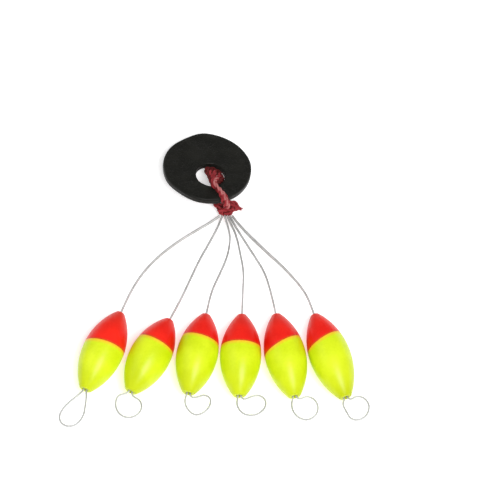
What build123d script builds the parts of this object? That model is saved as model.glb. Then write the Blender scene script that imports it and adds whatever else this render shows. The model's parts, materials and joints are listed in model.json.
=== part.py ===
from build123d import *

import os
from math import cos, pi, radians, sin, tan

# A set of six small two-colour fishing floats lying on a table. Each float sits on a thin
# steel wire hairpin, the six hairpins meet in a red thread knot, and the thread goes through
# the hole of a black foam disc whose front edge rests on the knot.
# Millimetres, +Z up, origin on the table under the middle of the set without its wires.

# Where the knot stands in the frame; every other place is given from it
KNOT_X = 1.59
KNOT_Y = 10.32

# Foam disc
DISC_RADIUS = 7.1
DISC_THICKNESS = 1.2
DISC_EDGE_ROUND = 0.3
DISC_X = -3.08
DISC_Y = 6.55
DISC_TILT = 18.5
DISC_LOW_BEARING = 20.0  # from +Y towards +X
HOLE_RADIUS = 2.35
HOLE_OFFSET = 1.77
HOLE_BEARING = 15.0

# Red thread: a loop round the disc's front rim, a knot and two cut ends
THREAD_BEARING = 30.0
THREAD_WIDTH = 1.3
THREAD_GAP = 0.15
LOOP_TOP = 0.8
LOOP_BOTTOM = 0.6
LOOP_FRONT = 0.73
LOOP_BACK = 0.9
BUNDLE_BELOW = 0.05
BUNDLE_ABOVE = 0.2
BUNDLE_BACK_CUT = 0.55
BUNDLE_LEFT_CUT = 1.4
RIM_WIDTH = 5.5 - HOLE_RADIUS
KNOT_CENTRE = (0.05, 0.35, 1.3)
KNOT_HALF_SIZE = (2.1, 1.35, 1.3)
KNOT_TOP_CLEARANCE = 0.1
NECK_RADIUS = 0.3
NECK_REACH = 4.9
NECK_WIDTH = 1.6
NECK_HEIGHT = 1.2
NECK_MIDDLE = (-0.2, -0.56)
NECK_SLOPE = 70
TAIL_RADIUS = 0.32
TAIL_TAPER = 3
TAIL_ROUTES = {
    "thread_tail_right": ((1.5, 0.25, 1.6), (2.9, 0.0, 1.2)),
    "thread_tail_left": ((-1.4, 0.5, 1.5), (-2.6, 0.3, 0.9)),
}

# Wire hairpins
WIRE_RADIUS = 0.15
STRAND_OFFSET = 0.22
MOUTH_Y = -1.2
MOUTH_Z = 1.35
MOUTH_SPACING = 0.42
MOUTH_FACE_GAP = 0.42
STRAIGHT_LEAD = 4.25
LOOP_EXIT = 0.1
RADIUS_SHARE = 0.45

# Floats
FLOAT_RADIUS = 3.35
FLOAT_AXIS_Z = FLOAT_RADIUS
TIP_FLAT_RADIUS = 0.7
TAIL_FLAT_RADIUS = 0.95
TAIL_ROUND = 0.4
TUBE_OUTER_RADIUS = 0.5
TUBE_BORE_RADIUS = 0.4
TUBE_RECESS = 0.1
TUBE_TAIL_RECESS = 0.4
RUNNING_CLEARANCE = 0.03
COAT_SHARE = 0.035

# Each float: tip x and y, heading of its axis from -Y towards +X in degrees, length,
# where its red coat ends from the tip, and how far that edge is turned in degrees
FLOATS = [
    (-17.0, -19.1, -23.0, 14.5, 6.6, -5.5),
    (-9.1, -20.3, -26.6, 13.95, 5.0, 1.0),
    (-3.2, -19.4, -11.7, 13.95, 4.7, 4.0),
    (2.6, -19.45, -1.8, 14.1, 5.7, 0.5),
    (8.1, -19.4, 11.8, 14.55, 5.75, -18.0),
    (14.3, -19.45, 19.2, 15.2, 5.1, -14.0),
]

# Each wire from the knot to the straight stretch above its float: x, y, z
STEMS = [
    [(-2.4, -2.3, 1.45), (-4.7, -3.8, 1.65), (-7.9, -6.1, 2.1), (-11.1, -9.0, 2.6), (-13.5, -12.0, 3.1)],
    [(-1.15, -2.9, 1.5), (-2.6, -6.0, 1.9), (-4.3, -9.4, 2.45), (-5.7, -12.9, 3.0)],
    [(0.25, -2.8, 1.45), (0.75, -5.3, 1.8), (0.3, -8.6, 2.4), (-0.9, -11.9, 3.0)],
    [(0.8, -2.6, 1.45), (1.7, -4.9, 1.8), (2.3, -8.2, 2.4), (2.9, -11.7, 3.0)],
    [(1.25, -2.6, 1.45), (2.5, -4.9, 1.85), (4.3, -8.2, 2.4), (6.2, -11.6, 3.0)],
    [(1.95, -2.6, 1.5), (3.9, -5.0, 1.9), (6.7, -8.1, 2.4), (9.8, -11.4, 3.0)],
]

# Half the height between the two strands at those points, where they stand apart
PARTED = {6: [0.3, 0.45, 0.4, 0.25]}

# Each wire loop past its float: distance past the float's end and distance to the right
LOOPS = [
    [(0.9, -0.45), (2.3, -1.2), (4.1, -1.95), (5.8, -2.1), (6.9, -1.3), (7.0, 0.05), (6.1, 0.95),
     (4.3, 1.1), (2.4, 0.8), (0.9, 0.35)],
    [(0.6, 0.75), (0.6, 2.0), (1.6, 2.95), (3.2, 2.9), (4.35, 1.7), (4.35, 0.1), (3.3, -1.15), (1.7, -1.3),
     (0.7, -0.6)],
    [(1.6, -0.35), (2.9, 0.5), (3.6, 1.9), (2.8, 3.2), (1.4, 3.9), (0.1, 3.7), (-0.3, 2.6), (0.35, 1.6),
     (0.65, 0.7)],
    [(1.5, -0.4), (2.8, 0.3), (3.4, 1.6), (3.1, 3.2), (1.9, 4.3), (0.5, 4.3), (-0.3, 3.2), (0.05, 1.9),
     (0.65, 0.8)],
    [(1.0, -0.75), (2.4, -0.85), (3.8, -0.15), (4.5, 1.2), (4.0, 2.7), (2.6, 3.4), (1.1, 3.1), (0.3, 1.9),
     (0.65, 0.7)],
    [(1.0, -0.9), (2.4, -1.1), (3.8, -0.5), (4.5, 0.8), (4.0, 2.3), (2.6, 3.2), (1.1, 2.9), (0.3, 1.75),
     (0.65, 0.65)],
]


def bearing(angle):
    """The level direction at this angle from -Y towards +X."""
    return Vector(sin(radians(angle)), -cos(radians(angle)), 0)


def place(x, y, z):
    """A point given from the knot, in the set's own frame."""
    return Vector(KNOT_X + x, KNOT_Y + y, z)


def finish(builder, name):
    """Name a finished piece and write its file."""
    builder.part.label = name
    export_step(builder.part, f"parts/{name}.step")


# ---------------------------------------------------------------- foam disc and its frame

lean = sin(radians(DISC_TILT))
upright = cos(radians(DISC_TILT))
disc_normal = Vector(
    sin(radians(DISC_LOW_BEARING)) * lean, cos(radians(DISC_LOW_BEARING)) * lean, upright
)
# Its rounded lowest edge touches the table
disc_height = (
    (DISC_RADIUS - DISC_EDGE_ROUND) * lean
    + (DISC_THICKNESS / 2 - DISC_EDGE_ROUND) * upright
    + DISC_EDGE_ROUND
)
disc_centre = place(DISC_X, DISC_Y, disc_height)


def along_disc(angle):
    """The direction on the disc's face whose bearing from above is this angle."""
    level = bearing(angle)
    return (level - disc_normal * level.dot(disc_normal)).normalized()


disc_plane = Plane(origin=disc_centre, x_dir=along_disc(HOLE_BEARING), z_dir=disc_normal)
hole_centre = disc_plane.from_local_coords(Vector(HOLE_OFFSET, 0, 0))
thread_direction = along_disc(THREAD_BEARING)
thread_plane = Plane(
    origin=hole_centre, x_dir=thread_direction, z_dir=thread_direction.cross(disc_normal)
)


def hang_disc():
    """A punched foam disc with its hole off centre, towards the thread."""
    with BuildPart() as disc:
        with BuildSketch(disc_plane.offset(-DISC_THICKNESS / 2)):
            Circle(DISC_RADIUS)
            with Locations((HOLE_OFFSET, 0)):
                Circle(HOLE_RADIUS, mode=Mode.SUBTRACT)
        extrude(amount=DISC_THICKNESS)
        outer_edges = disc.edges().filter_by(GeomType.CIRCLE).sort_by(SortBy.RADIUS)[-2:]
        fillet(outer_edges, DISC_EDGE_ROUND)
    return disc


# ---------------------------------------------------------------- red thread

def thread_loop():
    """The thread's loop round the rim, with the wide bundle that half fills the hole."""
    half = DISC_THICKNESS / 2 + THREAD_GAP
    near = HOLE_RADIUS - THREAD_GAP
    far = HOLE_RADIUS + RIM_WIDTH + THREAD_GAP
    bundle_plane = Plane(
        origin=hole_centre - disc_normal * (half + BUNDLE_BELOW), x_dir=thread_direction, z_dir=disc_normal
    )
    with BuildPart() as loop:
        with BuildSketch(thread_plane):
            with BuildLine():
                outline = Polyline(
                    (near - LOOP_BACK, -half - LOOP_BOTTOM),
                    (far + LOOP_FRONT, -half - LOOP_BOTTOM),
                    (far + LOOP_FRONT, half + LOOP_TOP),
                    (near - LOOP_BACK, half + LOOP_TOP),
                    close=True,
                )
            make_face()
            fillet(outline.vertices(), LOOP_BOTTOM)
            with Locations(((near + far) / 2, 0)):
                RectangleRounded(far - near, 2 * half, THREAD_GAP, mode=Mode.SUBTRACT)
        extrude(amount=THREAD_WIDTH / 2, both=True)
        with BuildSketch(bundle_plane):
            Circle(near)
            with Locations((-near, 0)):
                Rectangle(2 * BUNDLE_BACK_CUT, 2 * near, mode=Mode.SUBTRACT)
            with Locations((0, -near)):
                Rectangle(2 * near, 2 * BUNDLE_LEFT_CUT, mode=Mode.SUBTRACT)
        extrude(amount=2 * half + BUNDLE_BELOW + BUNDLE_ABOVE)
    return loop


def neck_point():
    """Where the thread bends between its loop and the knot."""
    drop = DISC_THICKNESS / 2 + THREAD_GAP + LOOP_BOTTOM + KNOT_TOP_CLEARANCE / 2 + NECK_RADIUS
    return thread_plane.from_local_coords(Vector(NECK_REACH, -drop, 0))


def thread_knot():
    """The knot under the disc's rim: an egg with a flat front, where the wires come out."""
    centre = place(*KNOT_CENTRE)
    half_x, half_y, half_z = KNOT_HALF_SIZE
    under_disc = DISC_THICKNESS / 2 + THREAD_GAP + LOOP_BOTTOM + KNOT_TOP_CLEARANCE
    lid = Plane(origin=disc_centre - disc_normal * under_disc, x_dir=thread_direction, z_dir=disc_normal)
    front = Plane(origin=place(0, MOUTH_Y + MOUTH_FACE_GAP, 0), x_dir=(1, 0, 0), z_dir=(0, -1, 0))
    ball = Solid.make_sphere(1.0)
    egg = scale(ball, by=(half_x, half_y, half_z))
    with BuildPart() as knot:
        with Locations(centre):
            add(egg)
        split(bisect_by=lid, keep=Keep.BOTTOM)
        split(bisect_by=front, keep=Keep.BOTTOM)
        with BuildSketch(Plane(origin=neck_point(), x_dir=thread_direction, z_dir=thread_plane.z_dir)):
            with Locations(NECK_MIDDLE):
                SlotCenterToCenter(NECK_HEIGHT, 2 * NECK_RADIUS, rotation=NECK_SLOPE)
        extrude(amount=NECK_WIDTH / 2, both=True)
    return knot


def thread_tail(route, knot):
    """A cut end of the thread, standing out of the knot."""
    start = place(*route[0])
    end = place(*route[1])
    with BuildPart() as tail:
        with BuildSketch(Plane(origin=start, z_dir=end - start)):
            Circle(TAIL_RADIUS)
        extrude(amount=(end - start).length, taper=TAIL_TAPER)
        add(knot.part, mode=Mode.SUBTRACT)
    return tail


# ---------------------------------------------------------------- wire hairpins

def float_frame(number):
    """The float's tip, the direction of its axis away from the knot, and its right."""
    x, y, heading = FLOATS[number - 1][:3]
    axis = bearing(heading)
    right = Vector(-axis.Y, axis.X, 0)
    return place(x, y, FLOAT_AXIS_Z), axis, right


def strand(number, side):
    """The points of one strand from the knot to the loop; side is 1 for the upper strand."""
    tip, axis, right = float_frame(number)
    length = FLOATS[number - 1][3]
    stem = STEMS[number - 1]
    gaps = PARTED.get(number, [STRAND_OFFSET] * len(stem))
    mouth_x = (number - (len(FLOATS) + 1) / 2) * MOUTH_SPACING
    points = [place(mouth_x, MOUTH_Y, MOUTH_Z + side * STRAND_OFFSET)]
    points += [place(x, y, z + side * gap) for (x, y, z), gap in zip(stem, gaps)]
    points.append(tip - axis * STRAIGHT_LEAD + Vector(0, 0, side * STRAND_OFFSET))
    points.append(tip + axis * (length + LOOP_EXIT) - right * side * STRAND_OFFSET * first_side(number))
    return points


def first_side(number):
    """1 where the loop starts on the left of the float's axis, -1 where it starts on the right."""
    return 1 if LOOPS[number - 1][0][1] < 0 else -1


def hairpin_route(number):
    """The whole wire: one strand down, the loop, and the other strand back."""
    tip, axis, right = float_frame(number)
    length = FLOATS[number - 1][3]
    loop = [tip + axis * (length + ahead) + right * beside for ahead, beside in LOOPS[number - 1]]
    return strand(number, 1) + loop + strand(number, -1)[::-1]


def corner_radii(points):
    """For each corner, 0.45 of the shorter run over the tangent of half the turn."""
    radii = []
    for before, corner, after in zip(points, points[1:], points[2:]):
        run_in = corner - before
        run_out = after - corner
        half_turn = radians(run_in.get_angle(run_out)) / 2
        radii.append(RADIUS_SHARE * min(run_in.length, run_out.length) / tan(half_turn))
    return radii


def wire_hairpin(number):
    """A steel wire bent double, with the loop that takes the fishing line at its far end."""
    points = hairpin_route(number)
    radii = corner_radii(points)
    with BuildPart() as wire:
        with BuildLine():
            route = FilletPolyline(*points, radius=radii)
        with BuildSketch(Plane(origin=route @ 0, z_dir=route % 0)):
            Circle(WIRE_RADIUS)
        sweep()
    expected = pi * WIRE_RADIUS**2 * route.length
    print(
        f"wire_hairpin_{number}: length {route.length:.2f} mm, volume {wire.part.volume:.4f}"
        f" against {expected:.4f} mm3, radii {[round(r, 2) for r in radii]}"
    )
    return wire


# ---------------------------------------------------------------- floats

def olive(number, inset):
    """A float's outline turned about its axis, round the tube's bore; inset shrinks it."""
    tip, axis, _ = float_frame(number)
    length = FLOATS[number - 1][3]
    share = 1 - inset
    start = length / 2 * inset
    belly = length / 2
    end = length - start
    bore = TUBE_OUTER_RADIUS + RUNNING_CLEARANCE
    profile_plane = Plane(origin=tip, x_dir=axis, z_dir=axis.cross(Vector(0, 0, 1)))
    with BuildPart() as body:
        with BuildSketch(profile_plane):
            with BuildLine():
                Line((start, bore), (start, TIP_FLAT_RADIUS * share))
                TangentArc((belly, FLOAT_RADIUS * share), (start, TIP_FLAT_RADIUS * share), tangent=(-1, 0))
                TangentArc((belly, FLOAT_RADIUS * share), (end, TAIL_FLAT_RADIUS * share), tangent=(1, 0))
                Line((end, TAIL_FLAT_RADIUS * share), (end, bore))
                Line((end, bore), (start, bore))
            outline = make_face()
            fillet(outline.vertices().group_by(Axis.X)[-1].sort_by(Axis.Y)[-1], TAIL_ROUND)
        revolve(axis=Axis(tip, axis))
    return body


def red_tip(number, whole, inside):
    """The coat of red lacquer over the tip half, down to its own slightly turned edge."""
    tip, axis, right = float_frame(number)
    edge, turn = FLOATS[number - 1][4:]
    facing = axis * cos(radians(turn)) - right * sin(radians(turn))
    edge_plane = Plane(origin=tip + axis * edge, x_dir=(0, 0, 1), z_dir=facing)
    with BuildPart() as coat:
        add(whole.part)
        split(bisect_by=edge_plane, keep=Keep.BOTTOM)
        add(inside.part, mode=Mode.SUBTRACT)
    return coat


def float_body(whole, coat):
    """The yellow float, recessed by the thickness of the red coat."""
    with BuildPart() as body:
        add(whole.part)
        add(coat.part, mode=Mode.SUBTRACT)
    return body


def line_tube(number):
    """The soft tube in the float's bore that grips the wire, and later the fishing line."""
    tip, axis, _ = float_frame(number)
    length = FLOATS[number - 1][3]
    with BuildPart() as tube:
        with BuildSketch(Plane(origin=tip + axis * TUBE_RECESS, z_dir=axis)):
            Circle(TUBE_OUTER_RADIUS)
            Circle(TUBE_BORE_RADIUS, mode=Mode.SUBTRACT)
        extrude(amount=length - TUBE_RECESS - TUBE_TAIL_RECESS)
    return tube


# ---------------------------------------------------------------- the whole set

os.makedirs("parts", exist_ok=True)
finish(hang_disc(), "hang_disc")
finish(thread_loop(), "thread_loop")
tied_knot = thread_knot()
finish(tied_knot, "thread_knot")
for tail_name, tail_route in TAIL_ROUTES.items():
    finish(thread_tail(tail_route, tied_knot), tail_name)
for index in range(1, len(FLOATS) + 1):
    outside = olive(index, 0.0)
    red_coat = red_tip(index, outside, olive(index, COAT_SHARE))
    finish(wire_hairpin(index), f"wire_hairpin_{index}")
    finish(line_tube(index), f"line_tube_{index}")
    finish(red_coat, f"red_tip_{index}")
    finish(float_body(outside, red_coat), f"float_body_{index}")

neck = neck_point()
print(f"disc centre {disc_centre}, normal {disc_normal}")
print(f"hole centre {hole_centre}, thread direction {thread_direction}")
print(f"neck {neck}, neck axis {thread_plane.z_dir}, wire mouth {place(0, MOUTH_Y, MOUTH_Z)}")
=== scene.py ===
import json
import random
from math import atan2, cos, exp, hypot, pi, radians, sin

import bpy
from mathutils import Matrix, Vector, noise


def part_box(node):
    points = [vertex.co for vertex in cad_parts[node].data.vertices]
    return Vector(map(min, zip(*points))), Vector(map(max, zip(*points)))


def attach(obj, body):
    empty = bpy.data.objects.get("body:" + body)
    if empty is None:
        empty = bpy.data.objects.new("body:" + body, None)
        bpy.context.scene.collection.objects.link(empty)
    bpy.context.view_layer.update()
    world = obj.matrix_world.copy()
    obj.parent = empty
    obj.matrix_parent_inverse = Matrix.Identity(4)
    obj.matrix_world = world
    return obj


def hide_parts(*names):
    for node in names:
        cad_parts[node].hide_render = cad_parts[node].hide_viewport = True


# The looks of a set of six small fishing floats: a black foam disc, a red thread with its
# knot, six steel wire hairpins and six lacquered floats, on a pale table.

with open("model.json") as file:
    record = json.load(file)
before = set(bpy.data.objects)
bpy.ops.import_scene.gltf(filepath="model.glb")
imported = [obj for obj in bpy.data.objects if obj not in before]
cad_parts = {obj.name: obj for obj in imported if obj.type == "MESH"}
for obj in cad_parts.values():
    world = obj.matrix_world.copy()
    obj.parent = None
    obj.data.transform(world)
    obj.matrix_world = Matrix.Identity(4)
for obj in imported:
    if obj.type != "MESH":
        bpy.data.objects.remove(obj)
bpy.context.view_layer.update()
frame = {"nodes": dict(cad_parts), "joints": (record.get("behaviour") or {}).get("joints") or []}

MM = 0.001  # shapes are given in millimetres here and made in metres

# ---------------------------------------------------------------- the frame's own places

JOINTS = {joint["name"]: joint for joint in frame["joints"]}


def joint_place(name):
    """Where a joint sits, in metres."""
    return Vector(JOINTS[name]["pos_m"])


def joint_axis(name):
    """The direction of a joint's axis."""
    return Vector(JOINTS[name]["axis"]).normalized()


def local_space(origin, ahead, side, up):
    """A function from millimetres along three directions to a point in the frame, in metres."""

    def point(along, across, above):
        """One point of the space."""
        return origin + (ahead * along + side * across + up * above) * MM

    return point


DISC_NORMAL = joint_axis("thread_swivel")
HOLE_CENTRE = joint_place("thread_swivel")
DISC_LOW, DISC_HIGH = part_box("hang_disc")
DISC_CENTRE = (DISC_LOW + DISC_HIGH) / 2
THREAD_SIDE = -joint_axis("knot_swing")
THREAD_AHEAD = THREAD_SIDE.cross(DISC_NORMAL)
THREAD_SPACE = local_space(HOLE_CENTRE, THREAD_AHEAD, THREAD_SIDE, DISC_NORMAL)

# Where the knot stands; the wires' places are given from it, as in the part's source
KNOT_X = 1.59
KNOT_Y = 10.32


def place(x, y, z):
    """A point given from the knot in millimetres, in the frame's metres."""
    return Vector((KNOT_X + x, KNOT_Y + y, z)) * MM


# ---------------------------------------------------------------- making materials

class Shading:
    """A new material with its main shader, and short calls for the nodes that feed it."""

    def __init__(self, name, **values):
        """An empty material; values are the shader's own settings, with _ for each space."""
        self.material = bpy.data.materials.new(name)
        self.material.use_nodes = True
        self.tree = self.material.node_tree
        self.tree.nodes.clear()
        output = self.tree.nodes.new("ShaderNodeOutputMaterial")
        self.shader = self.tree.nodes.new("ShaderNodeBsdfPrincipled")
        self.tree.links.new(self.shader.outputs["BSDF"], output.inputs["Surface"])
        for socket, value in values.items():
            self.shader.inputs[socket.replace("_", " ")].default_value = value

    def join(self, source, target):
        """Link an output to an input."""
        self.tree.links.new(source, target)

    def coordinates(self, kind="Object", stretch=(1, 1, 1)):
        """Texture coordinates of one kind, stretched along their three axes."""
        source = self.tree.nodes.new("ShaderNodeTexCoord")
        mapping = self.tree.nodes.new("ShaderNodeMapping")
        mapping.inputs["Scale"].default_value = stretch
        self.join(source.outputs[kind], mapping.inputs["Vector"])
        return mapping.outputs["Vector"]

    def noise(self, where, scale, detail=3.0, distortion=0.0):
        """A cloudy value from 0 to 1."""
        node = self.tree.nodes.new("ShaderNodeTexNoise")
        node.inputs["Scale"].default_value = scale
        node.inputs["Detail"].default_value = detail
        node.inputs["Distortion"].default_value = distortion
        self.join(where, node.inputs["Vector"])
        return node.outputs["Fac"]

    def cells(self, where, scale):
        """The distance to the middle of the nearest cell."""
        node = self.tree.nodes.new("ShaderNodeTexVoronoi")
        node.inputs["Scale"].default_value = scale
        self.join(where, node.inputs["Vector"])
        return node.outputs["Distance"]

    def ramp(self, value, stops):
        """A colour looked up from a value; each stop is a place from 0 to 1 and a colour."""
        node = self.tree.nodes.new("ShaderNodeValToRGB")
        elements = node.color_ramp.elements
        elements[0].position, elements[0].color = stops[0][0], (*stops[0][1], 1)
        elements[1].position, elements[1].color = stops[-1][0], (*stops[-1][1], 1)
        for position, colour in stops[1:-1]:
            elements.new(position).color = (*colour, 1)
        self.join(value, node.inputs["Fac"])
        return node.outputs["Color"]

    def sum(self, first, second, factor=1.0):
        """The first value plus the second times a factor."""
        node = self.tree.nodes.new("ShaderNodeMath")
        node.operation = "MULTIPLY_ADD"
        node.inputs[1].default_value = factor
        self.join(second, node.inputs[0])
        self.join(first, node.inputs[2])
        return node.outputs["Value"]

    def span(self, value, low, high, to_low=0.0, to_high=1.0):
        """A value moved from one range to another and kept inside it."""
        node = self.tree.nodes.new("ShaderNodeMapRange")
        node.inputs["From Min"].default_value = low
        node.inputs["From Max"].default_value = high
        node.inputs["To Min"].default_value = to_low
        node.inputs["To Max"].default_value = to_high
        self.join(value, node.inputs["Value"])
        return node.outputs["Result"]

    def blend(self, factor, first, second):
        """Two colours mixed by a value."""
        node = self.tree.nodes.new("ShaderNodeMix")
        node.data_type = "RGBA"
        self.join(factor, node.inputs["Factor"])
        self.join(first, node.inputs[6])
        self.join(second, node.inputs[7])
        return node.outputs[2]

    def colour(self, source):
        """Set the shader's colour."""
        self.join(source, self.shader.inputs["Base Color"])

    def roughness(self, value, low, high):
        """Set the shader's roughness from a cloudy value."""
        self.join(self.span(value, 0.3, 0.7, low, high), self.shader.inputs["Roughness"])

    def relief(self, *layers):
        """Set the shader's bump from pairs of a height and its depth in millimetres."""
        normal = None
        for height, depth in layers:
            node = self.tree.nodes.new("ShaderNodeBump")
            node.inputs["Distance"].default_value = depth * MM
            self.join(height, node.inputs["Height"])
            if normal:
                self.join(normal, node.inputs["Normal"])
            normal = node.outputs["Normal"]
        self.join(normal, self.shader.inputs["Normal"])


def foam_material():
    """Black closed-cell foam, with fine pores, dusty patches and a faint sheen."""
    look = Shading("black_foam", Specular_IOR_Level=0.2, Sheen_Weight=0.02, Sheen_Roughness=0.5)
    where = look.coordinates()
    patches = look.noise(where, 420, 4)
    grain = look.noise(where, 5200, 3)
    pores = look.cells(where, 4600)
    mottled = look.sum(patches, grain, 0.35)
    look.colour(look.ramp(mottled, [
        (0.35, (0.0028, 0.0029, 0.0018)), (0.65, (0.0058, 0.0059, 0.004)),
        (0.95, (0.0115, 0.0114, 0.0085))]))
    look.roughness(patches, 0.38, 0.62)
    look.relief((patches, 0.25), (look.span(pores, 0.0, 0.45), 0.035), (grain, 0.03))
    return look.material


def thread_material(name, shadow, body, light):
    """Spun thread: fibres that lie along each ply, in uneven shades of one colour."""
    look = Shading(name, Specular_IOR_Level=0.28, Sheen_Weight=0.35, Sheen_Roughness=0.4)
    look.shader.inputs["Sheen Tint"].default_value = (*light, 1)
    lay = look.coordinates("UV", (1.6, 9.0, 1))
    fibres = look.noise(lay, 2.4, 4, 0.4)
    shade = look.noise(look.coordinates(), 900, 3)
    look.colour(look.ramp(look.sum(fibres, shade, 0.5), [(0.45, shadow), (0.72, body), (1.0, light)]))
    look.roughness(fibres, 0.62, 0.9)
    look.relief((fibres, 0.07), (look.noise(look.coordinates(), 9000, 2), 0.012))
    return look.material


def wire_material():
    """Bright drawn steel wire with fine scratches and dull spots."""
    look = Shading("steel_wire", Metallic=1.0)
    where = look.coordinates()
    dull = look.noise(where, 700, 3)
    scratches = look.noise(look.coordinates("Object", (1, 1, 3)), 9000, 2)
    look.colour(look.ramp(look.sum(dull, scratches, 0.3), [
        (0.4, (0.52, 0.52, 0.51)), (0.65, (0.64, 0.64, 0.63)), (0.9, (0.76, 0.76, 0.76))]))
    look.roughness(dull, 0.6, 0.75)
    look.relief((scratches, 0.006))
    return look.material


def tube_material():
    """Milky silicone tube."""
    look = Shading("clear_silicone", Transmission_Weight=0.15, IOR=1.41, Specular_IOR_Level=0.45)
    cloud = look.noise(look.coordinates(), 1500, 3)
    look.colour(look.ramp(cloud, [(0.3, (0.62, 0.66, 0.6)), (0.7, (0.8, 0.83, 0.78))]))
    look.roughness(cloud, 0.25, 0.4)
    look.relief((cloud, 0.03))
    return look.material


def floor_material():
    """A plain pale table that glows a little, as a light table does."""
    look = Shading(
        "pale_floor", Specular_IOR_Level=0.1, Emission_Color=(1, 1, 1, 1), Emission_Strength=0.42)
    cloud = look.noise(look.coordinates(), 12, 2)
    look.colour(look.ramp(cloud, [(0.3, (0.93, 0.93, 0.93)), (0.7, (0.95, 0.95, 0.95))]))
    look.roughness(cloud, 0.9, 0.95)
    return look.material


# ---------------------------------------------------------------- floats

# Each float: tip x and y from the knot, heading from -Y towards +X in degrees, length,
# where its red coat ends from the tip, and how far that edge is turned in degrees
FLOATS = [
    (-17.0, -19.1, -23.0, 14.5, 6.6, -5.5),
    (-9.1, -20.3, -26.6, 13.95, 5.0, 1.0),
    (-3.2, -19.4, -11.7, 13.95, 4.7, 4.0),
    (2.6, -19.45, -1.8, 14.1, 5.7, 0.5),
    (8.1, -19.4, 11.8, 14.55, 5.75, -18.0),
    (14.3, -19.45, 19.2, 15.2, 5.1, -14.0),
]
FLOAT_AXIS_Z = 3.35
COUNT = len(FLOATS)


def bearing(angle):
    """The level direction at this angle from -Y towards +X."""
    return Vector((sin(radians(angle)), -cos(radians(angle)), 0))


def float_frame(number):
    """The float's tip, the direction of its axis away from the knot, and its right."""
    x, y, heading = FLOATS[number - 1][:3]
    axis = bearing(heading)
    return place(x, y, FLOAT_AXIS_Z), axis, Vector((-axis.y, axis.x, 0))


def past_edge(look, number):
    """How far a point lies past the red coat's edge, in millimetres, with a slightly uneven line."""
    tip, axis, right = float_frame(number)
    edge, turn = FLOATS[number - 1][4:]
    facing = axis * cos(radians(turn)) - right * sin(radians(turn))
    offset = look.tree.nodes.new("ShaderNodeVectorMath")
    offset.operation = "SUBTRACT"
    offset.inputs[1].default_value = tip + axis * edge * MM
    look.join(look.coordinates(), offset.inputs[0])
    along = look.tree.nodes.new("ShaderNodeVectorMath")
    along.operation = "DOT_PRODUCT"
    along.inputs[1].default_value = facing / MM
    look.join(offset.outputs["Vector"], along.inputs[0])
    return along.outputs["Value"]


def lacquer_material(number, name, shades, near_edge, reach, far_end):
    """Glossy lacquer in slightly uneven shades.

    near_edge and far_end each give a range in millimetres past the coat's edge, over which
    another colour comes in, and that colour's shades. far_end darkens the coat towards the float's end:
    painted shade on the yellow's lower end, and a darker red towards the tip. reach is how wavy those
    ranges are.
    """
    look = Shading(f"{name}_{number}", Specular_IOR_Level=0.2, Coat_Weight=0.2, Coat_Roughness=0.3)
    where = look.coordinates()
    clouds = look.noise(where, 230, 3)
    specks = look.noise(where, 2600, 3)
    dark, light = shades
    base = look.ramp(look.sum(clouds, specks, 0.25), [(0.45, dark), (0.8, light)])
    wavy = look.sum(past_edge(look, number), look.noise(where, 900, 2), reach * 0.5)
    # The far_end blend darkens towards the float's end: painted shade on the yellow.
    painted_end_shade = look.blend(look.span(wavy, *far_end[0]), base, look.ramp(clouds, far_end[1]))
    look.colour(look.blend(look.span(wavy, *near_edge[0]), painted_end_shade, look.ramp(specks, near_edge[1])))
    look.roughness(clouds, 0.34, 0.46)
    look.relief((clouds, 0.12), (specks, 0.012))
    return look.material


def dress_floats():
    """Lacquer on each float and its red end, and silicone on its tube."""
    silicone = tube_material()
    for number in range(1, COUNT + 1):
        # The yellow's last range darkens its lower end: painted shade.
        yellow = lacquer_material(
            number, "yellow_lacquer", ((0.62, 0.77, 0.003), (0.76, 0.9, 0.014)),
            ((0.72, 0.12), [(0.3, (0.95, 0.5, 0.02)), (0.7, (0.98, 0.62, 0.03))]), 0.35,
            ((4.0, 9.5), [(0.3, (0.52, 0.6, 0.002)), (0.7, (0.6, 0.7, 0.006))]))
        red = lacquer_material(
            number, "red_lacquer", ((0.82, 0.009, 0.003), (0.95, 0.018, 0.006)),
            ((-0.3, 0.0), [(0.3, (0.6, 0.05, 0.006)), (0.7, (0.74, 0.1, 0.01))]), 0.3,
            ((-2.5, -7.0), [(0.3, (0.66, 0.02, 0.006)), (0.7, (0.8, 0.03, 0.01))]))
        for node, material in (("float_body", yellow), ("red_tip", red), ("line_tube", silicone)):
            cad_node = frame["nodes"][f"{node}_{number}"]
            cad_node.data.materials.clear()
            cad_node.data.materials.append(material)


# ---------------------------------------------------------------- wires

WIRE_DIAMETER = 0.3
BEVEL_STEPS = 4
CURVE_STEPS = 12
STRAND_OFFSET = 0.22
MOUTH_Y = -1.2
MOUTH_Z = 1.35
MOUTH_SPACING = 0.42
STRAIGHT_LEAD = 4.25
LOOP_EXIT = 0.1
BEFORE_EXIT = 1.8
PAST_CORNER = 3.9

# Each wire from the knot to the straight stretch above its float: x, y, z from the knot
STEMS = [
    [(-2.4, -2.3, 1.45), (-4.7, -3.8, 1.65), (-7.9, -6.1, 2.1), (-11.1, -9.0, 2.6), (-13.5, -12.0, 3.1)],
    [(-1.15, -2.9, 1.5), (-2.6, -6.0, 1.9), (-4.3, -9.4, 2.45), (-5.7, -12.9, 3.0)],
    [(0.25, -2.8, 1.45), (0.75, -5.3, 1.8), (0.3, -8.6, 2.4), (-0.9, -11.9, 3.0)],
    [(0.8, -2.6, 1.45), (1.7, -4.9, 1.8), (2.3, -8.2, 2.4), (2.9, -11.7, 3.0)],
    [(1.25, -2.6, 1.45), (2.5, -4.9, 1.85), (4.3, -8.2, 2.4), (6.2, -11.6, 3.0)],
    [(1.95, -2.6, 1.5), (3.9, -5.0, 1.9), (6.7, -8.1, 2.4), (9.8, -11.4, 3.0)],
]

# Half the height between the two strands at those points, where they stand apart
PARTED = {6: [0.3, 0.45, 0.4, 0.25]}

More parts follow.
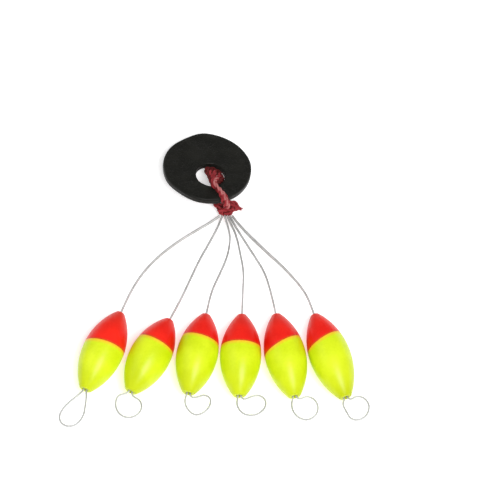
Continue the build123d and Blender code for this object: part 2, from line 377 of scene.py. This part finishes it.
# Each wire loop past its float: distance past the float's end and distance to the right. They are
# the part's own, but for four points of wire 1 and one each of wires 2 and 6, moved by up to
# 0.5 mm so that each wire's centreline, kept within 1 mm, still tells its two strands apart.
LOOPS = [
    [(0.9, -0.45), (2.3, -1.2), (4.1, -1.95), (5.8, -2.1), (6.9, -1.3), (7.0, 0.05), (6.1, 1.2),
     (4.3, 1.6), (2.4, 1.1), (0.8, 0.6)],
    [(0.6, 0.75), (0.6, 2.0), (1.6, 2.95), (3.2, 2.9), (4.35, 1.7), (4.35, 0.1), (3.3, -1.15), (1.6, -1.6),
     (0.7, -0.6)],
    [(1.6, -0.35), (2.9, 0.5), (3.6, 1.9), (2.8, 3.2), (1.4, 3.9), (0.1, 3.7), (-0.3, 2.6), (0.35, 1.6),
     (0.65, 0.7)],
    [(1.5, -0.4), (2.8, 0.3), (3.4, 1.6), (3.1, 3.2), (1.9, 4.3), (0.5, 4.3), (-0.3, 3.2), (0.05, 1.9),
     (0.65, 0.8)],
    [(1.0, -0.75), (2.4, -0.85), (3.8, -0.15), (4.5, 1.2), (4.0, 2.7), (2.6, 3.4), (1.1, 3.1), (0.3, 1.9),
     (0.65, 0.7)],
    [(1.0, -0.9), (2.5, -0.7), (3.8, -0.5), (4.5, 0.8), (4.0, 2.3), (2.6, 3.2), (1.1, 2.9), (0.3, 1.75),
     (0.65, 0.65)],
]


def strand(number, side):
    """The points of one strand from the knot to the loop; side is 1 for the upper strand."""
    tip, axis, right = float_frame(number)
    length = FLOATS[number - 1][3]
    stem = STEMS[number - 1]
    gaps = PARTED.get(number, [STRAND_OFFSET] * len(stem))
    mouth_x = (number - (COUNT + 1) / 2) * MOUTH_SPACING
    height = Vector((0, 0, side * STRAND_OFFSET)) * MM
    first_side = 1 if LOOPS[number - 1][0][1] < 0 else -1
    beside = -right * side * STRAND_OFFSET * first_side * MM
    leave = length + LOOP_EXIT
    points = [place(mouth_x, MOUTH_Y, MOUTH_Z + side * STRAND_OFFSET)]
    points += [place(x, y, z + side * gap) for (x, y, z), gap in zip(stem, gaps)]
    points.append(tip - axis * STRAIGHT_LEAD * MM + height)
    points.append(tip + axis * (PAST_CORNER - STRAIGHT_LEAD) * MM + height)
    points.append(tip + axis * (leave - BEFORE_EXIT) * MM + beside)
    points.append(tip + axis * leave * MM + beside)
    return points


def hairpin_route(number):
    """The whole wire: one strand down, the loop, and the other strand back."""
    tip, axis, right = float_frame(number)
    length = FLOATS[number - 1][3]
    loop = [tip + (axis * (length + ahead) + right * beside) * MM for ahead, beside in LOOPS[number - 1]]
    return strand(number, 1) + loop + strand(number, -1)[::-1]


def wire_hairpin(number, material):
    """A steel wire bent double, as one smooth curve."""
    points = hairpin_route(number)
    curve = bpy.data.curves.new(f"hairpin_{number}", "CURVE")
    curve.dimensions = "3D"
    curve.bevel_depth = WIRE_DIAMETER / 2 * MM
    curve.bevel_resolution = BEVEL_STEPS
    curve.use_fill_caps = True
    curve.resolution_u = CURVE_STEPS
    spline = curve.splines.new("NURBS")
    spline.points.add(len(points) - 1)
    for control, point in zip(spline.points, points):
        control.co = (*point, 1)
    spline.order_u = 3
    spline.use_endpoint_u = True
    curve.materials.append(material)
    piece = bpy.data.objects.new(f"hairpin_{number}", curve)
    bpy.context.scene.collection.objects.link(piece)
    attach(piece, f"wire_{number}")
    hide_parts(f"wire_hairpin_{number}")


# ---------------------------------------------------------------- foam disc

DISC_RADIUS = 7.1
DISC_HALF = 0.6
DISC_EDGE_ROUND = 0.3
HOLE_RADIUS = 2.35
HOLE_EDGE_ROUND = 0.22
RIM_SEGMENTS = 220
EDGE_STEPS = 5
FACE_STEPS = 12

# Where the die-cut outline leaves a true circle: angle from the thread in degrees, height, width
OUTLINE_FLAWS = [
    (153, 0.16, 14), (182, -0.24, 20), (212, 0.02, 14), (-70, -0.14, 20), (-97, 0.14, 14), (-125, 0.1, 15),
    (72, 0.13, 22),
]
# The same for the punched hole
HOLE_FLAWS = [(200, 0.08, 25), (-60, -0.07, 20), (75, 0.06, 30)]


# How far the thread presses into the foam, and how wide that dent is
DENT_DEPTH = 0.03
DENT_WIDTH = 0.9

# The waves in the disc's faces and the fine unevenness on them: how often, and by what share
# of its thickness
FACE_WAVES = (0.55, 0.05)
FINE_WAVES = (2.3, 0.015)


def wobble(angle, flaws):
    """The height of an outline's flaws at an angle in degrees."""
    total = 0.0
    for middle, height, width in flaws:
        away = (angle - middle + 180) % 360 - 180
        total += height * exp(-((away / width) ** 2))
    return total


def rim_distance(turn, start):
    """From the hole's middle, how far away the disc's outline lies in the direction of turn."""
    reach = DISC_RADIUS
    for _ in range(12):
        along = start[0] + reach * cos(turn)
        across = start[1] + reach * sin(turn)
        angle = atan2(across, along) * 180 / pi
        excess = hypot(along, across) - DISC_RADIUS - wobble(angle, OUTLINE_FLAWS)
        reach -= excess
    return reach


def rounded_profile(inner, outer, half):
    """Half of the disc's section: points from mid hole wall over the top to mid rim."""
    width = outer - DISC_EDGE_ROUND - inner - HOLE_EDGE_ROUND
    profile = [(inner, 0.0), (inner, half * 0.5)]
    for step in range(EDGE_STEPS + 1):
        turn = pi / 2 * step / EDGE_STEPS
        profile.append((
            inner + HOLE_EDGE_ROUND * (1 - cos(turn)), half - HOLE_EDGE_ROUND * (1 - sin(turn))))
    for step in range(1, FACE_STEPS):
        profile.append((inner + HOLE_EDGE_ROUND + width * (step / FACE_STEPS), half))
    for step in range(EDGE_STEPS + 1):
        turn = pi / 2 * step / EDGE_STEPS
        profile.append((
            outer - DISC_EDGE_ROUND * (1 - sin(turn)), half - DISC_EDGE_ROUND * (1 - cos(turn))))
    profile += [(outer, half * 0.3), (outer, 0.0)]
    return profile


def dent(along, across):
    """How far the thread presses the foam in at a point of its face, in front of the hole."""
    over_rim = 1 / (1 + exp(-(along - 2.0) * 3))
    lane = (FRONT_LANE + RIM_LANE) / 2
    return DENT_DEPTH * exp(-(((across - lane) / DENT_WIDTH) ** 2)) * over_rim


def foam_section(turn, start):
    """The points of the disc's section in one direction from the hole's middle."""
    inner = HOLE_RADIUS + wobble(turn * 180 / pi, HOLE_FLAWS)
    outer = rim_distance(turn, start)
    top = rounded_profile(inner, outer, DISC_HALF)
    section = top + [(reach, -height) for reach, height in top[-2:0:-1]]
    points = []
    for reach, height in section:
        along = reach * cos(turn)
        across = reach * sin(turn)
        wave = noise.noise(Vector((along, across, height)) * FACE_WAVES[0]) * FACE_WAVES[1]
        fine = noise.noise(Vector((along, across, height * 2 + 7)) * FINE_WAVES[0]) * FINE_WAVES[1]
        pressed = dent(along, across) * height / DISC_HALF
        point = THREAD_SPACE(along, across, height * (1 + wave + fine) - pressed)
        point.z = max(point.z, 0)
        points.append(point)
    return points


def foam_disc():
    """A punched foam disc: uneven outline, soft edges, slightly wavy faces."""
    offset = HOLE_CENTRE - DISC_CENTRE
    start = (offset.dot(THREAD_AHEAD) / MM, offset.dot(THREAD_SIDE) / MM)
    vertices = []
    rows = 0
    for segment in range(RIM_SEGMENTS):
        section = foam_section(2 * pi * segment / RIM_SEGMENTS, start)
        rows = len(section)
        vertices += section
    faces = []
    for segment in range(RIM_SEGMENTS):
        here = segment * rows
        after = (segment + 1) % RIM_SEGMENTS * rows
        for row in range(rows):
            above = (row + 1) % rows
            faces.append((here + row, after + row, after + above, here + above))
    piece = mesh_piece("foam_disc", vertices, faces, foam_material())
    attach(piece, "disc")
    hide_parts("hang_disc")


def mesh_piece(name, vertices, faces, *materials):
    """A smooth-shaded object made of these points and faces."""
    mesh = bpy.data.meshes.new(name)
    mesh.from_pydata(vertices, [], faces)
    for material in materials:
        mesh.materials.append(material)
    mesh.shade_smooth()
    piece = bpy.data.objects.new(name, mesh)
    bpy.context.scene.collection.objects.link(piece)
    return piece


# ---------------------------------------------------------------- thread

PLY_RADIUS = 0.165
PLY_OFFSET = 0.15
PLY_PITCH = 2.1
SAMPLE_STEP = 0.1
TUBE_SIDES = 9
FUZZ_RADIUS = 0.009
# Shades of thread: the darkest copy paints shade on strands that lie low, behind others or inside the
# knot, and the palest paints a highlight on the top strand over the rim.
SHADES = {"painted_shade": 0, "red": 1, "pale": 2}


def smooth_path(points):
    """Evenly spaced points on a smooth line through the given ones, in metres."""
    padded = [points[0] * 2 - points[1], *points, points[-1] * 2 - points[-2]]
    dense = []
    for before, here, after, beyond in zip(padded, padded[1:], padded[2:], padded[3:]):
        for step in range(24):
            t = step / 24
            dense.append(0.5 * (
                2 * here + (after - before) * t
                + (2 * before - 5 * here + 4 * after - beyond) * t**2
                + (3 * here - before - 3 * after + beyond) * t**3))
    dense.append(points[-1])
    even = [dense[0]]
    left = SAMPLE_STEP * MM
    for here, after in zip(dense, dense[1:]):
        gap = (after - here).length
        travelled = 0.0
        while gap - travelled >= left:
            travelled += left
            even.append(here.lerp(after, travelled / gap))
            left = SAMPLE_STEP * MM
        left -= gap - travelled
    return even


def carried_frames(path):
    """At each point of a path, its direction and two directions across it that don't twist."""
    frames = []
    across = None
    for index, point in enumerate(path):
        ahead = (path[min(index + 1, len(path) - 1)] - path[max(index - 1, 0)]).normalized()
        if across is None:
            across = ahead.orthogonal().normalized()
        across = (across - ahead * across.dot(ahead)).normalized()
        frames.append((point, ahead, across, ahead.cross(across)))
    return frames


class ThreadMesh:
    """Collects twisted strands into one mesh, with fibre coordinates along and round each ply."""

    def __init__(self, name, seed):
        """An empty mesh; the seed fixes its random draws."""
        self.name = name
        self.vertices = []
        self.faces = []
        self.shades = []
        self.corners = []
        self.chance = random.Random(seed)

    def tube(self, path, radius_at, shade, twist=0.0):
        """One round tube; radius_at gives its radius in millimetres at each point of the path."""
        first = len(self.vertices)
        frames = carried_frames(path)
        for index, (point, _, across, up) in enumerate(frames):
            radius = radius_at(index) * MM
            for side in range(TUBE_SIDES):
                turn = 2 * pi * side / TUBE_SIDES
                self.vertices.append(point + (across * cos(turn) + up * sin(turn)) * radius)
        for index in range(len(frames) - 1):
            low = first + index * TUBE_SIDES
            for side in range(TUBE_SIDES):
                after = (side + 1) % TUBE_SIDES
                high = low + TUBE_SIDES
                self.faces.append((low + side, low + after, high + after, high + side))
                self.shades.append(SHADES[shade])
                start = index * SAMPLE_STEP
                end = start + SAMPLE_STEP
                around = side / TUBE_SIDES
                wide = (side + 1) / TUBE_SIDES
                self.corners += [
                    (start, around + twist * start), (start, wide + twist * start),
                    (end, wide + twist * end), (end, around + twist * end)]
        last = first + (len(frames) - 1) * TUBE_SIDES
        for ring, order in ((first, -1), (last, 1)):
            cap = tuple(range(ring, ring + TUBE_SIDES))[::order]
            self.faces.append(cap)
            self.shades.append(SHADES[shade])
            self.corners += [(0.0, side / TUBE_SIDES) for side in range(TUBE_SIDES)]

    def strand(self, points, shade, plies=2, ply_radius=PLY_RADIUS, offset=PLY_OFFSET, pitch=PLY_PITCH):
        """A strand of twisted plies along a smooth line through the points."""
        path = smooth_path(points)
        frames = carried_frames(path)
        phase = self.chance.uniform(0, 2 * pi)
        for ply in range(plies):
            start = phase + 2 * pi * ply / plies
            line = []
            swell = self.chance.uniform(0, 20)
            for index, (point, _, across, up) in enumerate(frames):
                turn = start + 2 * pi * index * SAMPLE_STEP / pitch
                reach = offset * MM * (1 + 0.12 * sin(index * 0.21 + swell))
                line.append(point + (across * cos(turn) + up * sin(turn)) * reach)
            self.tube(
                line, lambda index: ply_radius * (1 + 0.08 * sin(index * 0.33 + swell)), shade, 0.35)

    def fray(self, end, direction, spread, length, count, shade):
        """Loose fibres that fan out of a cut end."""
        for _ in range(count):
            sideways = Vector([self.chance.gauss(0, 1) for _ in range(3)])
            sideways = (sideways - direction * sideways.dot(direction)).normalized()
            root = end - direction * 0.35 * MM + sideways * self.chance.uniform(0, 0.16) * MM
            reach = length * self.chance.uniform(0.45, 1.0)
            lean = spread * self.chance.uniform(0.2, 1.0)
            middle = root + (direction * 0.55 + sideways * lean * 0.35) * reach * MM
            tip = root + (direction + sideways * lean) * reach * MM
            droop = Vector((0, 0, self.chance.uniform(-0.15, 0.02))) * reach * MM
            path = smooth_path([root, middle, tip + droop])
            last = len(path)
            self.tube(path, lambda index: 0.028 * (1 - 0.6 * index / last), shade)

    def fuzz(self, count, length, is_free=lambda point: True):
        """Fine loose fibres that stand off the plies made so far, where their ends are free."""
        spots = [self.chance.randrange(len(self.vertices) // 2) * 2 for _ in range(count)]
        roots = [self.vertices[spot] for spot in spots]
        for root in roots:
            lean = Vector([self.chance.gauss(0, 1) for _ in range(3)]).normalized()
            curl = Vector([self.chance.gauss(0, 1) for _ in range(3)]).normalized()
            reach = length * self.chance.uniform(0.4, 1.0) * MM
            middle = root + (lean + curl * 0.4) * reach * 0.5
            tip = root + (lean - curl * 0.3) * reach
            if is_free(middle) and is_free(tip):
                self.tube(smooth_path([root, middle, tip]), lambda index: FUZZ_RADIUS, "red")

    def finish(self, materials):
        """The collected strands as one object."""
        piece = mesh_piece(self.name, self.vertices, self.faces, *materials)
        piece.data.polygons.foreach_set("material_index", self.shades)
        layer = piece.data.uv_layers.new(name="fibres")
        flat = [value for corner in self.corners for value in corner]
        layer.data.foreach_set("uv", flat)
        return piece


# How far right of the hole's middle the thread crosses the hole's front edge and the outer rim
FRONT_LANE = -0.9
RIM_LANE = -0.85

# Strands of the thread's loop where they turn in the hole: ahead and right of its middle, top height,
# and shade, which is painted shade on the low strands behind and a painted highlight on the top one; each
# then crosses the rim at its own place and height
LOOP_STRANDS = [
    ((-1.75, 0.3, 0.2), (-0.3, 0.97), "painted_shade"),
    ((-1.5, 0.95, 0.15), (-0.05, 1.15), "painted_shade"),
    ((-1.15, 0.3, 0.4), (0.22, 1.07), "red"),
    ((-0.95, 1.55, 0.15), (0.36, 0.97), "painted_shade"),
    ((-0.55, 0.9, 0.5), (0.1, 1.34), "red"),
    ((-0.25, 1.85, 0.1), (0.42, 0.95), "painted_shade"),
    ((-0.1, 0.2, 0.6), (-0.18, 1.32), "red"),
    ((0.3, 1.35, 0.45), (0.3, 1.2), "red"),
    ((0.3, 1.95, -0.1), (0.4, 0.96), "painted_shade"),
    ((0.85, 1.72, 0.1), (0.45, 0.97), "painted_shade"),
    ((1.2, 1.25, 0.25), (0.34, 0.98), "painted_shade"),
    # The palest strand, on top, is a painted highlight.
    ((0.75, 0.55, 0.7), (0.0, 1.54), "pale"),
    ((0.9, -0.15, 0.55), (-0.36, 0.98), "red"),
]

# Strands wound low along the hole's wall, behind those, in the darkest thread as painted shade: their
# bearings are in degrees
LINING_RADIUS = 1.88
LINING_HEIGHTS = (-0.95, -0.5, -0.1)
LINING_TURNS = range(168, 20, -16)

# Where loose fibres of the loop may end: this far off the foam's faces and the hole's wall, or
# past the rim at any angle of the swivel
FACE_GAP = 0.05
WALL_GAP = 0.1
PAST_RIM = 5.7


def is_off_foam(point):
    """Whether a point is outside the disc's foam, even when the thread has turned in the hole."""
    offset = (point - HOLE_CENTRE) / MM
    height = offset.dot(DISC_NORMAL)
    reach = (offset - DISC_NORMAL * height).length
    return abs(height) > DISC_HALF + FACE_GAP or reach < HOLE_RADIUS - WALL_GAP or reach > PAST_RIM


def loop_route(back, right, top, lane, height):
    """One strand's points: from the knot up through the hole, over the front rim and down again."""
    turn_in = 0.8 * lane
    into = FRONT_LANE + lane * 0.85
    outer = 6.0 + (height - 0.95) * 0.6
    return [
        THREAD_SPACE(4.9, turn_in * 0.6, -1.5),
        THREAD_SPACE(3.7, turn_in, -1.12),
        THREAD_SPACE(2.3, turn_in * 0.5 + right * 0.35, -1.05),
        THREAD_SPACE(0.6 * back + 0.9, (0.75 + 0.12 * right) * right, -0.9),
        THREAD_SPACE(back, right, -0.45),
        THREAD_SPACE(back + 0.05, right, top - 0.25),
        THREAD_SPACE(back + 0.5, right * 0.88, top + 0.14),
        THREAD_SPACE((back + 2.1) / 2 + 0.4, right * 0.42 + into * 0.6, (top + height) / 2 + 0.16),
        THREAD_SPACE(2.35, into, height),
        THREAD_SPACE(3.7, (FRONT_LANE + RIM_LANE) / 2 - lane * 0.35, height + 0.02),
        THREAD_SPACE(5.0, RIM_LANE + lane * 0.8, height + 0.02),
        THREAD_SPACE(outer, RIM_LANE + lane, height * 0.48),
        THREAD_SPACE(outer + 0.08, RIM_LANE * 0.7 + lane * 0.8, -0.5),
        THREAD_SPACE(5.5, RIM_LANE * 0.4 + lane * 0.5, -1.35),
    ]


def thread_loop(materials):
    """The thread's strands: up through the hole, over the front rim and down to the knot."""
    loop = ThreadMesh("thread_strands", 11)
    for turn, crossing, shade in LOOP_STRANDS:
        loop.strand(loop_route(*turn, *crossing), shade)
    for height in LINING_HEIGHTS:
        lining = [
            THREAD_SPACE(LINING_RADIUS * cos(radians(turn)), LINING_RADIUS * sin(radians(turn)), height)
            for turn in LINING_TURNS]
        loop.strand(lining, "painted_shade")
    loop.fuzz(110, 0.55, is_off_foam)
    piece = loop.finish(materials)
    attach(piece, "thread_loop")
    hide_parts("thread_loop")


KNOT_CENTRE = (0.05, 0.3, 1.3)


def knot_point(x, y, z):
    """A point given from the knot's middle."""
    return place(KNOT_CENTRE[0] + x, KNOT_CENTRE[1] + y, KNOT_CENTRE[2] + z)


def overhand(t, width, depth, height):
    """A point of an overhand knot's line, which closes on itself as t goes from 0 to 1."""
    turn = 2 * pi * t
    x = (sin(turn) + 2 * sin(2 * turn)) / 2.6 * width
    y = (cos(turn) - 2 * cos(2 * turn)) / 2.7 * depth
    z = -sin(3 * turn) * height
    return knot_point(x, y, z)


def thread_knot(materials):
    """The knot: a three-strand overhand tie with a collar round the wires and two cut ends."""
    knot = ThreadMesh("knot_strands", 23)
    # The darker thread on the middle lane and on one collar ring paints shade into the knot.
    for lane, shade in ((0.0, "red"), (0.5, "painted_shade"), (1.0, "red")):
        share = 1 - 0.22 * lane
        line = [
            overhand(step / 30, 1.75 * share, 0.95 * share, 0.72 - 0.12 * lane) for step in range(31)]
        knot.strand(line, shade)
    for ring, (ahead, radius, shade) in enumerate(
            ((-0.82, 0.55, "red"), (-0.5, 0.8, "red"), (-0.1, 0.95, "painted_shade"), (0.35, 1.0, "red"))):
        collar = []
        for step in range(25):
            turn = 2 * pi * step / 24 + ring
            lean = 0.22 * sin(turn + 1.3 * ring)
            collar.append(knot_point(1.45 * radius * cos(turn), ahead + lean, 0.9 * radius * sin(turn)))
        knot.strand(collar, shade)
    knot.fuzz(90, 0.5)
    piece = knot.finish(materials)
    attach(piece, "knot")
    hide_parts("thread_knot", "thread_tail_right", "thread_tail_left")


def thread_tails(materials):
    """The knot's two cut ends, frayed a little."""
    tails = ThreadMesh("tail_strands", 31)
    ends = (
        ((0.9, 0.1, 0.35), (1.7, 0.0, 0.2), (2.35, -0.2, -0.1), "red"),
        # The left end is in the darkest thread, as painted shade.
        ((-0.9, 0.4, 0.2), (-1.5, 0.75, 0.1), (-2.0, 1.0, -0.25), "painted_shade"),
    )
    for root, middle, end, shade in ends:
        for shift in (-0.18, 0.18):
            lift = Vector((0, 0, shift)) * MM
            line = [knot_point(*root) + lift, knot_point(*middle) + lift, knot_point(*end) + lift * 0.8]
            tails.strand(line, shade)
            heading = (line[-1] - line[-2]).normalized()
            tails.fray(line[-1], heading, 0.5, 0.75, 16, shade)
    piece = tails.finish(materials)
    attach(piece, "knot")


def knot_core(material):
    """The tight inside of the knot, which the strands are wound on."""
    rows = 18
    columns = 28
    vertices = []
    for row in range(rows + 1):
        rise = pi * (row / rows - 0.5)
        for column in range(columns):
            turn = 2 * pi * column / columns
            direction = Vector((cos(rise) * cos(turn), cos(rise) * sin(turn), sin(rise)))
            swell = 1 + 0.12 * noise.noise(direction * 2.5)
            vertices.append(knot_point(
                1.45 * direction.x * swell, 0.85 * direction.y * swell, 0.78 * direction.z * swell))
    faces = []
    for row in range(rows):
        for column in range(columns):
            after = (column + 1) % columns
            low = row * columns
            faces.append((low + column, low + after, low + columns + after, low + columns + column))
    piece = mesh_piece("knot_core", vertices, faces, material)
    piece.data.uv_layers.new(name="fibres")
    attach(piece, "knot")


# ---------------------------------------------------------------- table, light and camera

# Each soft box: its name, place, size in millimetres, and watts
SOFT_BOXES = [("key", (112, -200, 440), 230, 2.0), ("fill", (-300, 40, 330), 300, 0.25)]
HORIZON_GLOW = 0.17
OVERHEAD_GLOW = 0.45
TABLE_REACH = 1200
VIEW_ELEVATION = 67.0
VIEW_CENTRE = Vector((5.48, 4.06, -0.76)) * MM
VIEW_DISTANCE = 2250 * MM
VIEW_LENS = 1000


def table_top():
    """A pale table under the set."""
    reach = TABLE_REACH * MM
    corners = [(-reach, -reach, 0), (reach, -reach, 0), (reach, reach, 0), (-reach, reach, 0)]
    vertices = [Vector(corner) for corner in corners]
    piece = mesh_piece("table_top", vertices, [(0, 1, 2, 3)], floor_material())


def soft_light(name, place_mm, size_mm, watts):
    """A square soft box that shines on the origin."""
    light = bpy.data.lights.new(name, "AREA")
    light.size = size_mm * MM
    light.energy = watts
    lamp = bpy.data.objects.new(name, light)
    lamp.location = Vector(place_mm) * MM
    lamp.rotation_mode = "QUATERNION"
    lamp.rotation_quaternion = (-lamp.location).to_track_quat("-Z", "Y")
    bpy.context.scene.collection.objects.link(lamp)


def surroundings():
    """White surroundings that glow most overhead, and two soft boxes."""
    world = bpy.data.worlds.new("studio")
    world.use_nodes = True
    tree = world.node_tree
    direction = tree.nodes.new("ShaderNodeTexCoord")
    height = tree.nodes.new("ShaderNodeSeparateXYZ")
    glow = tree.nodes.new("ShaderNodeMapRange")
    glow.inputs["To Min"].default_value = HORIZON_GLOW
    glow.inputs["To Max"].default_value = OVERHEAD_GLOW
    tree.links.new(direction.outputs["Generated"], height.inputs["Vector"])
    tree.links.new(height.outputs["Z"], glow.inputs["Value"])
    tree.links.new(glow.outputs["Result"], tree.nodes["Background"].inputs["Strength"])
    tree.nodes["Background"].inputs["Color"].default_value = (1.0, 1.0, 1.0, 1)
    bpy.context.scene.world = world
    for box in SOFT_BOXES:
        soft_light(*box)
    bpy.context.scene.view_settings.view_transform = "Standard"


def view():
    """The camera, far off with a long lens."""
    camera_data = bpy.data.cameras.new("camera")
    camera_data.lens = VIEW_LENS
    camera_data.sensor_width = 36
    camera_data.clip_start = 0.01
    camera_data.dof.use_dof = False
    camera = bpy.data.objects.new("camera", camera_data)
    lift = radians(VIEW_ELEVATION)
    back = Vector((0, -cos(lift), sin(lift)))
    camera.location = VIEW_CENTRE + back * VIEW_DISTANCE
    camera.rotation_mode = "QUATERNION"
    camera.rotation_quaternion = (-back).to_track_quat("-Z", "Y")
    bpy.context.scene.collection.objects.link(camera)
    bpy.context.scene.camera = camera


# ---------------------------------------------------------------- the whole scene

surroundings()
view()
table_top()
steel = wire_material()
for index in range(1, COUNT + 1):
    wire_hairpin(index, steel)
dress_floats()
foam_disc()
# Three copies of one red thread, lit and shaded: the darkest is painted shade and the palest a painted
# highlight.
threads = [
    thread_material("painted_shade_red_thread", (0.03, 0.002, 0.002), (0.1, 0.006, 0.006), (0.2, 0.016, 0.014)),
    thread_material("red_thread", (0.12, 0.007, 0.009), (0.3, 0.02, 0.026), (0.48, 0.055, 0.065)),
    thread_material("painted_highlight_red_thread", (0.24, 0.04, 0.04), (0.48, 0.14, 0.14), (0.62, 0.26, 0.25)),
]
thread_loop(threads)
# The knot's inside takes the darkest thread, as painted shade.
knot_core(threads[0])
thread_knot(threads)
thread_tails(threads)
